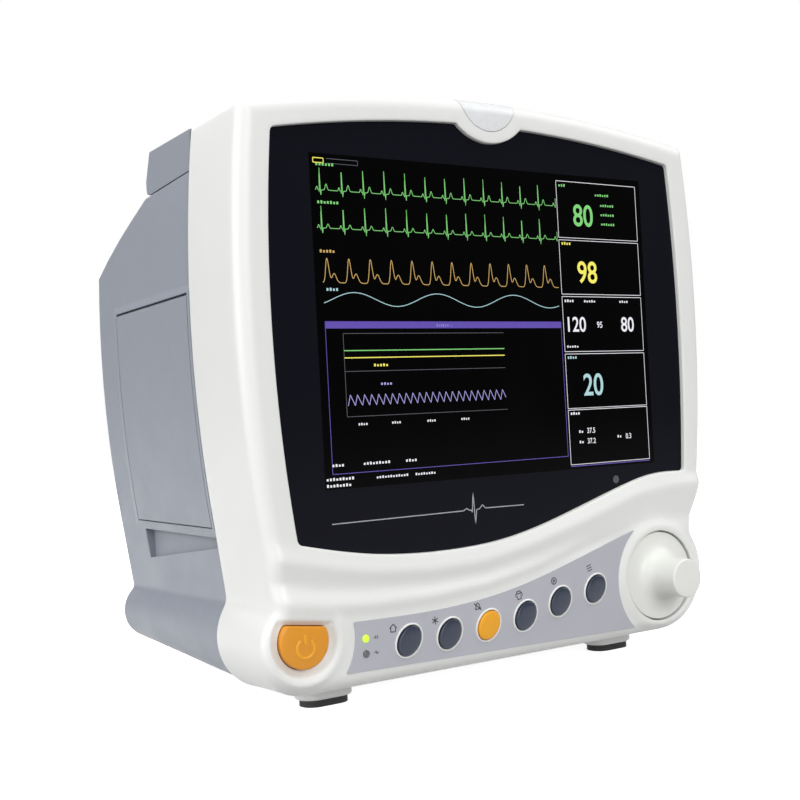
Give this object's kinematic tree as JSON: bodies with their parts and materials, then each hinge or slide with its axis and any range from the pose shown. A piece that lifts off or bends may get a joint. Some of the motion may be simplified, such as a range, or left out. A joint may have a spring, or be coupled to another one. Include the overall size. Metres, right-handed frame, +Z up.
{
  "type": "patient monitor",
  "caption": "Bedside patient monitor with a framed display, oval keys, a rotary knob, a lift-up carry handle and a hinged side door.",
  "frame": {"origin": "middle of the bounding box on the plane the rubber feet stand on", "axes": "+Z up, -Y the way the screen faces, +X to the right of someone facing the screen"},
  "size_m": [0.341, 0.258, 0.3485],
  "materials": {
    "bezel_white": "fine satin moulded plastic",
    "housing_grey": "fine textured moulded plastic",
    "lens_black": "polished dark display window",
    "lamp_white": "translucent frosted lens",
    "label_lilac": "printed polyester film",
    "key_slate": "satin key cap",
    "key_orange": "satin key cap",
    "power_orange": "satin button",
    "knob_white": "satin knob",
    "lamp_green": "lit light pipe",
    "lamp_grey": "unlit light pipe",
    "steel": "plated steel",
    "zinc_sheet": "zinc plated sheet",
    "brass": "turned brass",
    "board_green": "solder mask",
    "black_plastic": "moulded plastic",
    "rubber_black": "matt rubber",
    "paper_white": "thermal paper",
    "gear_white": "acetal",
    "panel_white": "printed panel",
    "socket_blue": "moulded socket",
    "socket_green": "moulded socket",
    "battery_blue": "heat-shrunk pack"
  },
  "bodies": {
    "monitor": {"alarm_lamp_board": "board_green", "alarm_lamp_lens": "lamp_white", "battery_cover": "housing_grey", "battery_pack": "battery_blue", "chassis": "zinc_sheet", "connector_panel": "panel_white", "control_label": "label_lilac", "cuff_port": "steel", "cuff_pump": "black_plastic", "display_bracket": "zinc_sheet", "display_driver_board": "board_green", "display_lens": "lens_black", "display_screws": "steel", "door_hinge_pin": "steel", "ecg_socket": "socket_green", "encoder_body": "zinc_sheet", "encoder_nut": "brass", "front_bezel": "bezel_white", "fuse_holders": "black_plastic", "ground_stud": "brass", "handle_pins": "steel", "housing_screws": "steel", "keypad_board": "board_green", "keypad_switches": "black_plastic", "lcd_panel": "black_plastic", "main_board": "board_green", "mains_inlet": "black_plastic", "mains_lamp_lens": "lamp_green", "mount_inserts": "brass", "network_port": "zinc_sheet", "parameter_board": "board_green", "power_supply": "zinc_sheet", "print_head": "black_plastic", "rear_housing": "housing_grey", "rear_label": "paper_white", "recorder_frame": "black_plastic", "recorder_motor": "zinc_sheet", "rubber_feet": "rubber_black", "run_lamp_lens": "lamp_grey", "speaker": "black_plastic", "spo2_socket": "socket_blue", "temperature_sockets": "black_plastic"},
    "handle": {"carry_handle": "housing_grey"},
    "side_door": {"recorder_door": "housing_grey"},
    "power": {"power_button": "power_orange"},
    "knob_push": {"encoder_plunger": "black_plastic"},
    "knob": {"menu_knob": "knob_white", "encoder_shaft": "steel"},
    "platen": {"platen_roller": "rubber_black", "platen_gear": "gear_white"},
    "paper": {"paper_roll": "paper_white"},
    "pinion": {"motor_pinion": "brass"},
    "main_key_body": {"main_key": "key_slate"},
    "freeze_key_body": {"freeze_key": "key_slate"},
    "silence_key_body": {"silence_key": "key_orange"},
    "record_key_body": {"record_key": "key_slate"},
    "start_key_body": {"start_key": "key_slate"},
    "menu_key_body": {"menu_key": "key_slate"}
  },
  "joints": [
    {"name": "handle_lift", "type": "hinge", "parent": "monitor", "child": "handle", "pos_m": [0, 0.033, 0.311], "axis": [-1, 0, 0], "range_deg": [0, 90]},
    {"name": "side_door_swing", "type": "hinge", "parent": "monitor", "child": "side_door", "pos_m": [-0.16638, 0.027, 0.2354], "axis": [0.0211, 0.9998, 0], "range_deg": [0, 90]},
    {"name": "power_press", "type": "slide", "parent": "monitor", "child": "power", "axis": [0, 1, 0], "range_m": [0, 0.001]},
    {"name": "knob_press", "type": "slide", "parent": "monitor", "child": "knob_push", "axis": [0, 1, 0], "range_m": [0, 0.0006]},
    {"name": "knob_turn", "type": "hinge", "parent": "knob_push", "child": "knob", "pos_m": [0.118, -0.1, 0.051], "axis": [0, 1, 0], "continuous": true},
    {"name": "platen_turn", "type": "hinge", "parent": "monitor", "child": "platen", "pos_m": [-0.15, 0.042, 0.19], "axis": [0, 1, 0], "continuous": true},
    {"name": "paper_turn", "type": "hinge", "parent": "monitor", "child": "paper", "pos_m": [-0.131, 0.042, 0.146], "axis": [0, 1, 0], "continuous": true},
    {"name": "pinion_turn", "type": "hinge", "parent": "monitor", "child": "pinion", "pos_m": [-0.13982, 0.081, 0.20018], "axis": [0, 1, 0], "continuous": true},
    {"name": "main_key_press", "type": "slide", "parent": "monitor", "child": "main_key_body", "axis": [0, 1, 0], "range_m": [0, 0.0008]},
    {"name": "freeze_key_press", "type": "slide", "parent": "monitor", "child": "freeze_key_body", "axis": [0, 1, 0], "range_m": [0, 0.0008]},
    {"name": "silence_key_press", "type": "slide", "parent": "monitor", "child": "silence_key_body", "axis": [0, 1, 0], "range_m": [0, 0.0008]},
    {"name": "record_key_press", "type": "slide", "parent": "monitor", "child": "record_key_body", "axis": [0, 1, 0], "range_m": [0, 0.0008]},
    {"name": "start_key_press", "type": "slide", "parent": "monitor", "child": "start_key_body", "axis": [0, 1, 0], "range_m": [0, 0.0008]},
    {"name": "menu_key_press", "type": "slide", "parent": "monitor", "child": "menu_key_body", "axis": [0, 1, 0], "range_m": [0, 0.0008]}
  ],
  "couplings": [
    {"joint": "platen_turn", "follows": "paper_turn", "ratio": -3.5},
    {"joint": "pinion_turn", "follows": "paper_turn", "ratio": 7}
  ]
}
